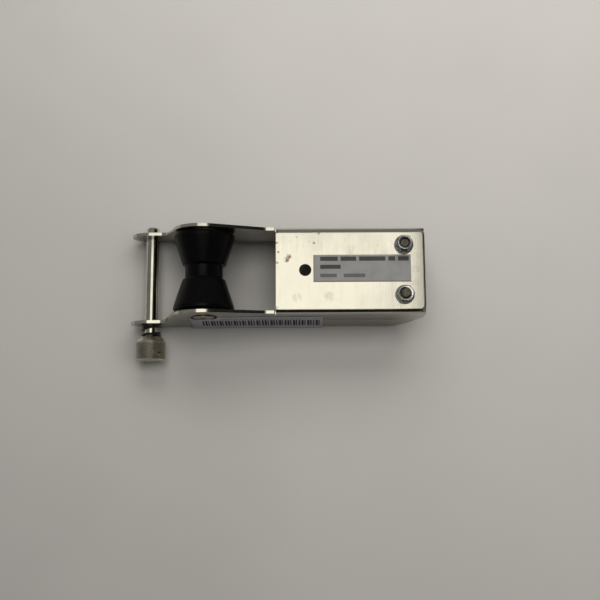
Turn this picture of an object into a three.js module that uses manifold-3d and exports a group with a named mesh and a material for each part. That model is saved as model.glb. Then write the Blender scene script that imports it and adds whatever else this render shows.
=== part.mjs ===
// Bow roller: a folded stainless channel that bolts to a deck, with an hourglass
// roller between its two arms and a sprung retaining pin across its two ears.
//
// Units are millimetres, +Z is up. The roller stands on the free rims of its cheeks,
// with the deck plate on top. +X points to the rear end of the deck plate and the
// pin's knob is on the -Y side.
//
// The pieces are laid out in workshop coordinates: X = 0 at the roller's axle, Y = 0
// in the middle between the cheeks and Z = 0 at the rims. The whole layout is then
// shifted, so that the finished model's origin lies on the deck face, midway between
// the front hole and the two rear holes.

import * as THREE from 'three';
import { mergeVertices } from 'three/addons/utils/BufferGeometryUtils.js';
import Module from 'manifold-3d';

const wasm = await Module();
wasm.setup();

// ---------- driving dimensions ----------

const overallLength = 197;
const rearX = 145;
const frontX = rearX - overallLength;

const sheet = 2;
const bendRadius = 3.5;

const deckHeight = 43.5;
const deckFrontX = 47.5;
const deckHalfWidth = 28.5;

const rimHalfWidth = 31.2;
const creaseHeight = 12;
const rearHeelRadius = 25;

const armHalfWidth = 29;
const armRadius = 20.5;
const armShoulderX = 41;

const earHalfWidth = 31.1;
const earHeight = 20.5;
const earRootX = -26.5;
const joggleStartX = -19;
const joggleEndX = -30;
const throatRadius = 5;

const axleHeight = 34.4;
const axleRadius = 5;
const axleHeadRadius = 7.2;
const axleHeadHeight = 1;

const rollerRadius = 20;
const rollerHalfLength = 25.7;

const pinX = -38.1;
const pinHeight = 10.3;
const pinRadius = 4.6;
const pinTipY = 36.8;

const knobRadius = 9.8;
const knobStartY = -39.2;
const knobLength = 16;
const rollPinRadius = 1.9;
const rollPinTurn = THREE.MathUtils.degToRad(44);

const frontHoleX = 66.6;
const frontHoleRadius = 4;
const rearHoleX = 131;
const rearHoleY = 16.5;
const rearHoleRadius = 3.4;

const boltRadius = 3;
const hexAcrossFlats = 10;
const washerRadius = 6.2;
const washerThickness = 1.2;

const labelThickness = 0.15;
const seatGap = 0.05;

const roundSteps = 48;
const smallRoundSteps = 32;

// ---------- helpers ----------

function finish(colour, roughness, metalness) {
  return new THREE.MeshStandardMaterial({ color: colour, roughness, metalness });
}

// A closed geometry as a solid that can be joined and cut. Points that share a place
// are merged, and triangles that lose their area in the merge are left out.
function toSolid(geometry) {
  const bare = geometry.clone();
  bare.deleteAttribute('normal');
  bare.deleteAttribute('uv');
  const merged = mergeVertices(bare, 1e-4);
  const index = merged.getIndex().array;
  const triangles = [];
  for (let i = 0; i < index.length; i += 3) {
    const [a, b, c] = [index[i], index[i + 1], index[i + 2]];
    if (a !== b && b !== c && c !== a) {
      triangles.push(a, b, c);
    }
  }
  return new wasm.Manifold(new wasm.Mesh({
    numProp: 3,
    vertProperties: new Float32Array(merged.getAttribute('position').array),
    triVerts: new Uint32Array(triangles),
  }));
}

function toGeometry(solid) {
  const mesh = solid.getMesh();
  const geometry = new THREE.BufferGeometry();
  geometry.setAttribute('position', new THREE.BufferAttribute(mesh.vertProperties, 3));
  geometry.setIndex(new THREE.BufferAttribute(mesh.triVerts, 1));
  geometry.computeVertexNormals();
  return geometry;
}

// A shape turned about the Y axis. The outline is a list of [radius, y] pairs.
function turned(outline, steps = roundSteps) {
  const points = outline.map(([radius, y]) => new THREE.Vector2(radius, y));
  return new THREE.LatheGeometry(points, steps);
}

// The same, turned about the Z axis. The outline is a list of [radius, z] pairs.
function turnedUpright(outline, steps = roundSteps) {
  return turned(outline, steps).rotateX(Math.PI / 2);
}

function barAlongY(radius, length, steps = roundSteps) {
  return new THREE.CylinderGeometry(radius, radius, length, steps);
}

function barAlongZ(radius, length, steps = roundSteps) {
  return barAlongY(radius, length, steps).rotateX(Math.PI / 2);
}

// A hexagonal prism on the Z axis from z = 0, with both ends' corners turned off.
function hexBlock(height) {
  const cornerRadius = hexAcrossFlats / Math.sqrt(3);
  const chamfer = 0.5;
  const prism = new THREE.CylinderGeometry(cornerRadius, cornerRadius, height, 6);
  prism.rotateX(Math.PI / 2).translate(0, 0, height / 2);
  const faceRadius = hexAcrossFlats / 2 - 0.1;
  const envelope = turnedUpright([
    [0, 0],
    [faceRadius, 0],
    [cornerRadius + 0.05, chamfer],
    [cornerRadius + 0.05, height - chamfer],
    [faceRadius, height],
    [0, height],
  ], smallRoundSteps);
  return toSolid(prism).intersect(toSolid(envelope));
}

function smoothStep(from, to, value) {
  const t = THREE.MathUtils.clamp((value - from) / (to - from), 0, 1);
  return t * t * (3 - 2 * t);
}

// ---------- the folded channel ----------

// The outer half width of a cheek above its crease. It is parallel under the deck
// plate, splays out to the roller and steps out again to the ears.
function cheekHalfWidth(x) {
  const splay = (armHalfWidth - deckHalfWidth) / armShoulderX;
  const straight = deckHalfWidth + splay * Math.max(0, armShoulderX - x);
  const step = smoothStep(joggleStartX, joggleEndX, x);
  return THREE.MathUtils.lerp(straight, earHalfWidth, step);
}

// The outer half width at any height. Below the crease the cheek flares out to its rim.
function outerHalfWidth(x, z) {
  const flare = Math.max(0, (creaseHeight - z) / creaseHeight);
  return THREE.MathUtils.lerp(cheekHalfWidth(x), rimHalfWidth, flare);
}

// A slab that follows the south cheek, between two offsets from its outer skin. It is
// two rows high, so that the row of points between them lies on the crease.
function cheekSlab(startX, endX, inner, outer) {
  const stepLength = 3;
  const rowHeight = 48;
  const columns = Math.round((endX - startX) / stepLength);
  const slab = new THREE.BoxGeometry(endX - startX, 1, 2 * rowHeight, columns, 1, 2);
  slab.translate((startX + endX) / 2, 0, creaseHeight);
  const position = slab.getAttribute('position');
  for (let i = 0; i < position.count; i += 1) {
    const offset = position.getY(i) < 0 ? outer : inner;
    position.setY(i, -(outerHalfWidth(position.getX(i), position.getZ(i)) + offset));
  }
  return slab;
}

// Where a line from a point touches a circle. Side is +1 or -1 for the two choices.
function tangentAngle(point, centre, radius, side) {
  const away = point.clone().sub(centre);
  return away.angle() + side * Math.acos(radius / away.length());
}

// The side view of a cheek with its arm and ear, in X and Z.
function cheekOutline() {
  const centre = new THREE.Vector2(0, axleHeight);
  const shoulder = new THREE.Vector2(armShoulderX, deckHeight);
  const throat = new THREE.Vector2(earRootX, earHeight);
  const backAngle = tangentAngle(shoulder, centre, armRadius, 1);
  const frontAngle = tangentAngle(throat, centre, armRadius, -1);
  const foldTop = deckHeight - bendRadius;

  const outline = new THREE.Shape();
  outline.moveTo(pinX, 0);
  outline.lineTo(rearX - rearHeelRadius, 0);
  outline.absarc(rearX - rearHeelRadius, rearHeelRadius, rearHeelRadius, -Math.PI / 2, 0);
  outline.lineTo(rearX, foldTop);
  outline.lineTo(deckFrontX, foldTop);
  outline.lineTo(deckFrontX, deckHeight);
  outline.lineTo(armShoulderX, deckHeight);
  outline.absarc(0, axleHeight, armRadius, backAngle, frontAngle);
  outline.lineTo(throat.x + 1.2, throat.y + throatRadius);
  outline.quadraticCurveTo(throat.x, throat.y, throat.x - throatRadius, throat.y);
  outline.lineTo(pinX, earHeight);
  outline.absellipse(pinX, earHeight / 2, pinX - frontX, earHeight / 2,
    Math.PI / 2, Math.PI * 1.5);
  return outline;
}

function southCheek() {
  const reach = 2 * rimHalfWidth;
  const prism = new THREE.ExtrudeGeometry(cheekOutline(), {
    depth: reach,
    bevelEnabled: false,
    curveSegments: 20,
  });
  prism.rotateX(Math.PI / 2);
  const slab = cheekSlab(frontX - 2, rearX + 2, -sheet, 0);
  return toSolid(slab).intersect(toSolid(prism));
}

// The deck plate with its two folds, as a cross-section in Y and Z along X.
function deckPlate() {
  const foldY = deckHalfWidth - bendRadius;
  const foldZ = deckHeight - bendRadius;
  const legZ = foldZ - 3;
  const innerRadius = bendRadius - sheet;
  const section = new THREE.Shape();
  section.moveTo(deckHalfWidth, legZ);
  section.absarc(foldY, foldZ, bendRadius, 0, Math.PI / 2);
  section.absarc(-foldY, foldZ, bendRadius, Math.PI / 2, Math.PI);
  section.lineTo(-deckHalfWidth, legZ);
  section.lineTo(-deckHalfWidth + sheet, legZ);
  section.absarc(-foldY, foldZ, innerRadius, Math.PI, Math.PI / 2, true);
  section.absarc(foldY, foldZ, innerRadius, Math.PI / 2, 0, true);
  section.lineTo(deckHalfWidth - sheet, legZ);
  const plate = new THREE.ExtrudeGeometry(section, {
    depth: rearX - deckFrontX,
    bevelEnabled: false,
    curveSegments: 8,
  });
  const alongY = new THREE.Vector3(0, 1, 0);
  const alongZ = new THREE.Vector3(0, 0, 1);
  const alongX = new THREE.Vector3(1, 0, 0);
  plate.applyMatrix4(new THREE.Matrix4().makeBasis(alongY, alongZ, alongX));
  return toSolid(plate.translate(deckFrontX, 0, 0));
}

function channelFrame() {
  const south = southCheek();
  const north = south.mirror([0, 1, 0]);
  let frame = deckPlate().add(south).add(north);

  const acrossEars = 2 * earHalfWidth + 10;
  const axleHole = barAlongY(axleRadius + 0.4, acrossEars).translate(0, 0, axleHeight);
  const pinHole = barAlongY(pinRadius + 0.4, acrossEars).translate(pinX, 0, pinHeight);
  const frontHole = barAlongZ(frontHoleRadius, 10).translate(frontHoleX, 0, deckHeight);
  const holes = [axleHole, pinHole, frontHole];
  for (const side of [-1, 1]) {
    holes.push(barAlongZ(rearHoleRadius, 10).translate(rearHoleX, side * rearHoleY, deckHeight));
  }
  for (const hole of holes) {
    frame = frame.subtract(toSolid(hole));
  }
  return toGeometry(frame);
}

// ---------- roller and axle ----------

const boreRadius = 7.05;
const bushEnd = rollerHalfLength + 0.75;

function rollerBody() {
  const grooveRadius = 12.5;
  const waistRadius = 14.2;
  const grooveHalfWidth = 4.7;
  const rimStart = 22.8;
  const lip = 0.8;
  const half = [
    [grooveRadius, grooveHalfWidth - 0.6],
    [grooveRadius + 0.6, grooveHalfWidth],
    [waistRadius - 0.3, grooveHalfWidth],
    [waistRadius, grooveHalfWidth + 0.5],
    [rollerRadius - 0.2, rimStart - 0.4],
    [rollerRadius, rimStart + 0.2],
    [rollerRadius, rollerHalfLength - lip],
    [rollerRadius - lip, rollerHalfLength],
    [boreRadius, rollerHalfLength],
  ];
  const mirrored = half.map(([radius, y]) => [radius, -y]).reverse();
  return turned([...mirrored, ...half, mirrored[0]]);
}

// One flanged bush for the roller's +Y end. The other is this one turned over.
function rollerBush() {
  const bushRadius = boreRadius - seatGap;
  const innerRadius = axleRadius + 0.08;
  const flangeRadius = 9.5;
  const flangeY = rollerHalfLength + seatGap;
  const innerEnd = 12;
  return turned([
    [innerRadius, innerEnd],
    [bushRadius, innerEnd],
    [bushRadius, flangeY],
    [flangeRadius, flangeY],
    [flangeRadius, bushEnd],
    [innerRadius, bushEnd],
    [innerRadius, innerEnd],
  ]);
}

const axleSeatY = armHalfWidth + 0.35;
const axleEndY = axleSeatY + axleHeadHeight;
const threadRadius = 3;

// The thin domed head that closes each end of the axle, from its rim to its crown.
const domedHead = [
  [axleHeadRadius, axleSeatY],
  [axleHeadRadius, axleSeatY + 0.35],
  [axleHeadRadius - 0.8, axleSeatY + 0.75],
  [axleHeadRadius - 2.6, axleEndY],
];

// The male half of the axle, pointing to -Y, with a hexagon socket in its head.
function axleBolt() {
  const socketRadius = 2.3;
  const socketDepth = 1.6;
  const profile = [
    [0, -10],
    [threadRadius, -10],
    [threadRadius, axleSeatY],
    ...domedHead,
    [0, axleEndY],
  ];
  const socket = new THREE.CylinderGeometry(socketRadius, socketRadius, 2 * socketDepth, 6);
  socket.translate(0, axleEndY, 0);
  const bolt = toSolid(turned(profile)).subtract(toSolid(socket));
  return toGeometry(bolt).rotateX(Math.PI);
}

// The female half: a barrel that the roller turns on, with its head at +Y.
function axleSleeveNut() {
  const sleeveBore = threadRadius + 0.1;
  const sleeveEnd = -axleSeatY + 0.4;
  const boreEnd = 14;
  return turned([
    [0, boreEnd],
    [sleeveBore, boreEnd],
    [sleeveBore, sleeveEnd],
    [axleRadius, sleeveEnd],
    [axleRadius, axleSeatY],
    ...domedHead,
    [0, axleEndY],
  ]);
}

// ---------- retaining pin ----------

const pinBlindEnd = knobStartY - 14;
const rollPinY = knobStartY - 11.4;

// The hole that the roll pin needs, across the pin's axis.
function rollPinHole() {
  const hole = barAlongZ(rollPinRadius + 0.3, 2 * knobRadius + 4, 24);
  return toSolid(hole.rotateY(rollPinTurn).translate(0, rollPinY, 0));
}

function retainingPin() {
  const chamfer = 1.4;
  const shaft = turned([
    [0, pinBlindEnd],
    [pinRadius, pinBlindEnd],
    [pinRadius, pinTipY - chamfer],
    [pinRadius - chamfer, pinTipY],
    [0, pinTipY],
  ]);
  return toGeometry(toSolid(shaft).subtract(rollPinHole()));
}

// The knob with its conical shoulder and the blind socket for the pin. The band that
// is knurled is a plain cylinder over the knurls' tips.
function pinKnob() {
  const shoulderRadius = 7.3;
  const shoulderLength = 3.4;
  const socketRadius = pinRadius + 0.1;
  const knobEnd = knobStartY - knobLength;
  const socketEnd = pinBlindEnd - 0.4;
  const lip = 1.2;
  const body = turned([
    [0, knobEnd],
    [knobRadius - lip, knobEnd],
    [knobRadius - 0.35, knobEnd + 0.35],
    [knobRadius, knobEnd + lip],
    [knobRadius, knobStartY - shoulderLength],
    [knobRadius - 0.6, knobStartY - shoulderLength + 0.6],
    [shoulderRadius, knobStartY],
    [socketRadius, knobStartY],
    [socketRadius, socketEnd],
    [0, socketEnd],
  ]);
  return toGeometry(toSolid(body).subtract(rollPinHole()));
}

// A tubular roll pin that holds the knob on the retaining pin.
function knobRollPin() {
  const half = knobRadius - 0.5;
  const wall = 0.55;
  const tube = turnedUpright([
    [rollPinRadius - wall, -half],
    [rollPinRadius, -half],
    [rollPinRadius, half],
    [rollPinRadius - wall, half],
    [rollPinRadius - wall, -half],
  ], 20);
  return tube.rotateY(rollPinTurn).translate(0, rollPinY, 0);
}

class SpringCurve extends THREE.Curve {
  constructor(radius, startY, endY, turns) {
    super();
    this.radius = radius;
    this.startY = startY;
    this.endY = endY;
    this.turns = turns;
  }

  getPoint(t, target = new THREE.Vector3()) {
    const angle = 2 * Math.PI * this.turns * t;
    return target.set(
      this.radius * Math.cos(angle),
      THREE.MathUtils.lerp(this.startY, this.endY, t),
      this.radius * Math.sin(angle),
    );
  }
}

// The compression spring between the south ear and the knob's shoulder.
function pinSpring() {
  const wireRadius = 0.65;
  const coilRadius = 5.95;
  const turns = 2.75;
  const stepsPerTurn = 20;
  const reach = wireRadius + 0.2;
  const section = new THREE.Shape();
  section.absarc(0, 0, wireRadius, 0, 2 * Math.PI);
  const path = new SpringCurve(coilRadius, -earHalfWidth - reach, knobStartY + reach, turns);
  return new THREE.ExtrudeGeometry(section, {
    steps: turns * stepsPerTurn,
    curveSegments: 4,
    bevelEnabled: false,
    extrudePath: path,
  });
}

// ---------- deck fasteners ----------

const innerFaceZ = deckHeight - sheet;
const headHeight = 4;
const lockNutHeight = 6.2;
const plainNutHeight = 5;
const nutSeatZ = deckHeight + washerThickness + 2 * seatGap;
const headSeatZ = innerFaceZ - washerThickness - 2 * seatGap;

// A hexagon bolt, head down, with its underside at z = 0.
function hexBolt(length) {
  const chamfer = 0.6;
  const shank = turnedUpright([
    [0, -1],
    [boltRadius, -1],
    [boltRadius, length - chamfer],
    [boltRadius - chamfer, length],
    [0, length],
  ], smallRoundSteps);
  return toGeometry(hexBlock(headHeight).translate([0, 0, -headHeight]).add(toSolid(shank)));
}

function flatWasher() {
  const hole = boltRadius + 0.3;
  return turnedUpright([
    [hole, 0],
    [washerRadius, 0],
    [washerRadius, washerThickness],
    [hole, washerThickness],
    [hole, 0],
  ], smallRoundSteps);
}

// A hexagon lock nut with the round collar that holds its insert.
function lockNut() {
  const hexHeight = 4.4;
  const collarRadius = 4.6;
  const collar = turnedUpright([
    [0, hexHeight - 1],
    [collarRadius, hexHeight - 1],
    [collarRadius, lockNutHeight - 0.7],
    [collarRadius - 0.5, lockNutHeight],
    [0, lockNutHeight],
  ], smallRoundSteps);
  const thread = barAlongZ(boltRadius + 0.1, 4 * lockNutHeight, smallRoundSteps);
  const recess = barAlongZ(3.9, 3.4, smallRoundSteps).translate(0, 0, lockNutHeight);
  const nut = hexBlock(hexHeight).add(toSolid(collar)).subtract(toSolid(recess));
  return toGeometry(nut.subtract(toSolid(thread)));
}

function plainNut() {
  const thread = barAlongZ(boltRadius + 0.1, 4 * plainNutHeight, smallRoundSteps);
  return toGeometry(hexBlock(plainNutHeight).subtract(toSolid(thread)));
}

// The nylon ring inside the lock nut's collar.
function nutInsert() {
  const ringHeight = 1.1;
  const bottom = lockNutHeight - 1.65;
  const hole = boltRadius + 0.05;
  return turnedUpright([
    [hole, bottom],
    [3.85, bottom],
    [3.85, bottom + ringHeight],
    [hole, bottom + ringHeight],
    [hole, bottom],
  ], smallRoundSteps);
}

// ---------- labels ----------

function deckLabel() {
  const length = 63.4;
  const width = 18;
  const corner = 0.8;
  const label = new THREE.Shape();
  label.moveTo(-length / 2 + corner, -width / 2);
  label.absarc(length / 2 - corner, -width / 2 + corner, corner, -Math.PI / 2, 0);
  label.absarc(length / 2 - corner, width / 2 - corner, corner, 0, Math.PI / 2);
  label.absarc(-length / 2 + corner, width / 2 - corner, corner, Math.PI / 2, Math.PI);
  label.absarc(-length / 2 + corner, -width / 2 + corner, corner, Math.PI, Math.PI * 1.5);
  return new THREE.ExtrudeGeometry(label, {
    depth: labelThickness,
    bevelEnabled: false,
    curveSegments: 4,
  });
}

// The small gap that a label needs to bridge the crease, where its rows miss the fold.
function creaseGap(z) {
  return 0.35 * (1 - smoothStep(0, 4, Math.abs(z - creaseHeight)));
}

// How far the side label stands out where it passes over the axle's head.
function headBulge(x, z) {
  const distance = Math.hypot(x, z - axleHeight);
  const bulge = axleEndY + seatGap - cheekHalfWidth(x);
  return bulge * (1 - smoothStep(axleHeadRadius + 0.4, axleHeadRadius + 3, distance));
}

// A paper label on the south cheek. It is folded over the crease with the sheet under
// it, passes over the lower part of the axle's head, and its front end is set higher.
function sideLabel() {
  const startX = -11;
  const endX = 78.5;
  const frontTop = 32.4;
  const rearTop = 28;
  const bottom = 0.8;
  const columns = 40;
  const rows = 14;
  const label = new THREE.BoxGeometry(endX - startX, 1, 1, columns, 1, rows);
  const position = label.getAttribute('position');
  for (let i = 0; i < position.count; i += 1) {
    const x = position.getX(i) + (startX + endX) / 2;
    const top = THREE.MathUtils.mapLinear(x, startX, endX, frontTop, rearTop);
    const z = THREE.MathUtils.lerp(bottom, top, position.getZ(i) + 0.5);
    const lift = seatGap + headBulge(x, z) + (position.getY(i) < 0 ? labelThickness : 0);
    position.setXYZ(i, x, -(outerHalfWidth(x, z) + creaseGap(z) + lift), z);
  }
  return label;
}

// ---------- assembly ----------

const patternX = (frontHoleX + rearHoleX) / 2;
const bowRoller = new THREE.Group();
const layout = new THREE.Group();
layout.position.set(-patternX, 0, -deckHeight);
bowRoller.add(layout);

function place(name, geometry, material, x = 0, y = 0, z = 0) {
  const mesh = new THREE.Mesh(geometry, material);
  mesh.name = name;
  mesh.position.set(x, y, z);
  layout.add(mesh);
}

place('channel_frame', channelFrame(), finish(0xd6d2c8, 0.28, 1));

place('roller_body', rollerBody(), finish(0x0b0b0c, 0.45, 0), 0, 0, axleHeight);
place('roller_bush_north', rollerBush(), finish(0xe4e0d2, 0.5, 0), 0, 0, axleHeight);
const southBush = rollerBush().rotateX(Math.PI);
place('roller_bush_south', southBush, finish(0xe4e0d2, 0.5, 0), 0, 0, axleHeight);
place('axle_bolt', axleBolt(), finish(0xb9b6ae, 0.3, 1), 0, 0, axleHeight);
place('axle_sleeve_nut', axleSleeveNut(), finish(0xb9b6ae, 0.3, 1), 0, 0, axleHeight);

place('retaining_pin', retainingPin(), finish(0xc9c5ba, 0.22, 1), pinX, 0, pinHeight);
place('pin_knob', pinKnob(), finish(0x8e8a80, 0.45, 1), pinX, 0, pinHeight);
place('knob_roll_pin', knobRollPin(), finish(0x6f5b42, 0.5, 1), pinX, 0, pinHeight);
place('pin_spring', pinSpring(), finish(0x8b8880, 0.3, 1), pinX, 0, pinHeight);

const northStack = { name: 'north', y: rearHoleY, boltLength: 9.6 };
const southStack = { name: 'south', y: -rearHoleY, boltLength: 11.4 };
for (const { name, y, boltLength } of [northStack, southStack]) {
  const bright = finish(0xb8b6b0, 0.3, 1);
  place(`deck_bolt_${name}`, hexBolt(boltLength), bright, rearHoleX, y, headSeatZ);
  const innerWasherZ = innerFaceZ - seatGap - washerThickness;
  place(`inner_washer_${name}`, flatWasher(), bright.clone(), rearHoleX, y, innerWasherZ);
  const outerWasherZ = deckHeight + seatGap;
  place(`outer_washer_${name}`, flatWasher(), bright.clone(), rearHoleX, y, outerWasherZ);
}
place('lock_nut_north', lockNut(), finish(0xa9a8a4, 0.3, 1), rearHoleX, rearHoleY, nutSeatZ);
place('nut_insert_north', nutInsert(), finish(0x3c4450, 0.6, 0), rearHoleX, rearHoleY, nutSeatZ);
place('hex_nut_south', plainNut(), finish(0xa9a8a4, 0.3, 1), rearHoleX, -rearHoleY, nutSeatZ);

const labelX = 103.6;
const labelY = 1.0;
place('deck_label', deckLabel(), finish(0x868684, 0.7, 0), labelX, labelY, deckHeight + seatGap);
place('side_label', sideLabel(), finish(0x9a9ca0, 0.7, 0));

export default bowRoller;
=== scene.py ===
"""Visual model of the bow roller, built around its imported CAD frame. Metres, +Z up."""

import math

import bmesh
import bpy
from mathutils import Matrix, Vector


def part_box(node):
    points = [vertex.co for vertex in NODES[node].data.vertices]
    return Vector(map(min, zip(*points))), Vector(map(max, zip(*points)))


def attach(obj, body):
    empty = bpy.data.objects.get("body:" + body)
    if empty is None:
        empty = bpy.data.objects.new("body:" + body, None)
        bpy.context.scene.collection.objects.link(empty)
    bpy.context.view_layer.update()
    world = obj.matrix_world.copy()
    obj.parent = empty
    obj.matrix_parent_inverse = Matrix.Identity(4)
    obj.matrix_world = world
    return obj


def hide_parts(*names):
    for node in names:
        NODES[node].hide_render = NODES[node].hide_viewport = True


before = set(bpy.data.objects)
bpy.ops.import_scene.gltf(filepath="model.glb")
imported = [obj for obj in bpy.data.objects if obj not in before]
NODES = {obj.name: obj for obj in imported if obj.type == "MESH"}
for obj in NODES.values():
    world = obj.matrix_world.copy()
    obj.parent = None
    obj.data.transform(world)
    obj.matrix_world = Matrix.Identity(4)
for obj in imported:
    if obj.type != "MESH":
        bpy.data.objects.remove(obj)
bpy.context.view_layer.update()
MM = 0.001


# ---------- places, read from the frame ----------


def middle(node):
    low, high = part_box(node)
    return (low + high) / 2


FRAME_LOW, FRAME_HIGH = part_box("channel_frame")
AXLE = middle("roller_body")
PIN = middle("retaining_pin")
FLOOR_Z = FRAME_LOW.z


# ---------- mesh helpers ----------


def new_piece(name, mesh, body, material, replaced=(), sharp=30):
    """Puts a mesh in the scene as a piece on a body, with its finish."""
    piece = bpy.data.objects.new(name, mesh)
    bpy.context.scene.collection.objects.link(piece)
    mesh.materials.append(material)
    for polygon in mesh.polygons:
        polygon.use_smooth = True
    mesh.set_sharp_from_angle(angle=math.radians(sharp))
    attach(piece, body)
    if replaced:
        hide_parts(*replaced)
    return piece


def cleaned(mesh, degenerate=False):
    """Joins points that meet and turns the faces outwards. It can also drop empty faces."""
    work = bmesh.new()
    work.from_mesh(mesh)
    bmesh.ops.remove_doubles(work, verts=work.verts, dist=1e-7)
    if degenerate:
        bmesh.ops.dissolve_degenerate(work, dist=1e-8, edges=work.edges)
    bmesh.ops.recalc_face_normals(work, faces=work.faces)
    work.to_mesh(mesh)
    work.free()
    return mesh


def mesh_from(name, vertices, faces):
    mesh = bpy.data.meshes.new(name)
    mesh.from_pydata([tuple(v) for v in vertices], [], faces)
    return cleaned(mesh)


def grid_faces(columns, rows):
    """The faces of a sheet of points, laid out row by row."""
    wide = columns + 1
    faces = []
    for row in range(rows):
        for column in range(columns):
            a = row * wide + column
            faces.append((a, a + 1, a + 1 + wide, a + wide))
    return faces


def tube_faces(steps, around):
    """The faces of a tube of points, laid out ring by ring, with both its ends closed."""
    faces = []
    for step in range(steps):
        for corner in range(around):
            a, b = step * around + corner, step * around + (corner + 1) % around
            faces.append((a, b, b + around, a + around))
    faces.append(tuple(range(around)))
    faces.append(tuple(range(steps * around, steps * around + around)))
    return faces


def thickened(piece, thickness):
    """Gives a sheet its thickness, behind the side that shows."""
    thick = piece.modifiers.new("thickness", "SOLIDIFY")
    thick.thickness = thickness
    thick.offset = -1
    return thick


def applied(piece):
    """Bakes the piece's modifiers into its mesh."""
    evaluated = piece.evaluated_get(bpy.context.evaluated_depsgraph_get())
    mesh = bpy.data.meshes.new_from_object(evaluated)
    piece.modifiers.clear()
    piece.data = mesh
    return piece


def turned_mesh(name, outline, steps=96, warp=None):
    """A shape turned about the Z axis. The outline is a list of (radius, z) in mm.

    It starts and ends on the axis, or ends where it starts. A warp function may move
    a point: it takes the radius, z and angle, and returns the new radius in mm.
    """
    vertices = []
    for radius, z in outline:
        for step in range(steps):
            angle = 2 * math.pi * step / steps
            r = warp(radius, z, angle) if warp else radius
            vertices.append((r * MM * math.cos(angle), r * MM * math.sin(angle), z * MM))
    faces = []
    for ring in range(len(outline) - 1):
        for step in range(steps):
            after = (step + 1) % steps
            a = ring * steps + step
            b = ring * steps + after
            faces.append((a, b, b + steps, a + steps))
    mesh = bpy.data.meshes.new(name)
    mesh.from_pydata(vertices, [], faces)
    return cleaned(mesh, degenerate=True)


def rounded(outline, radius, steps=3):
    """The outline with its inner corners rounded. Points are (radius, z) in mm."""
    points = [Vector(p) for p in outline]
    result = [points[0]]
    for before, corner, after in zip(points, points[1:], points[2:]):
        inward = before - corner
        onward = after - corner
        reach = min(radius, inward.length * 0.45, onward.length * 0.45)
        if inward.length < 1e-6 or onward.length < 1e-6:
            continue
        start = corner + inward.normalized() * reach
        end = corner + onward.normalized() * reach
        for step in range(steps + 1):
            t = step / steps
            blend = start.lerp(corner, t).lerp(corner.lerp(end, t), t)
            result.append(blend)
    result.append(points[-1])
    return [tuple(p) for p in result]


def along_y(mesh, place, flip=False):
    """Turns a mesh made about Z to lie along Y, or along -Y, and moves it to a place."""
    angle = math.pi / 2 if flip else -math.pi / 2
    mesh.transform(Matrix.Translation(place) @ Matrix.Rotation(angle, 4, "X"))
    return mesh


def moved(mesh, place):
    mesh.transform(Matrix.Translation(place))
    return mesh


# ---------- material helpers ----------


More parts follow.
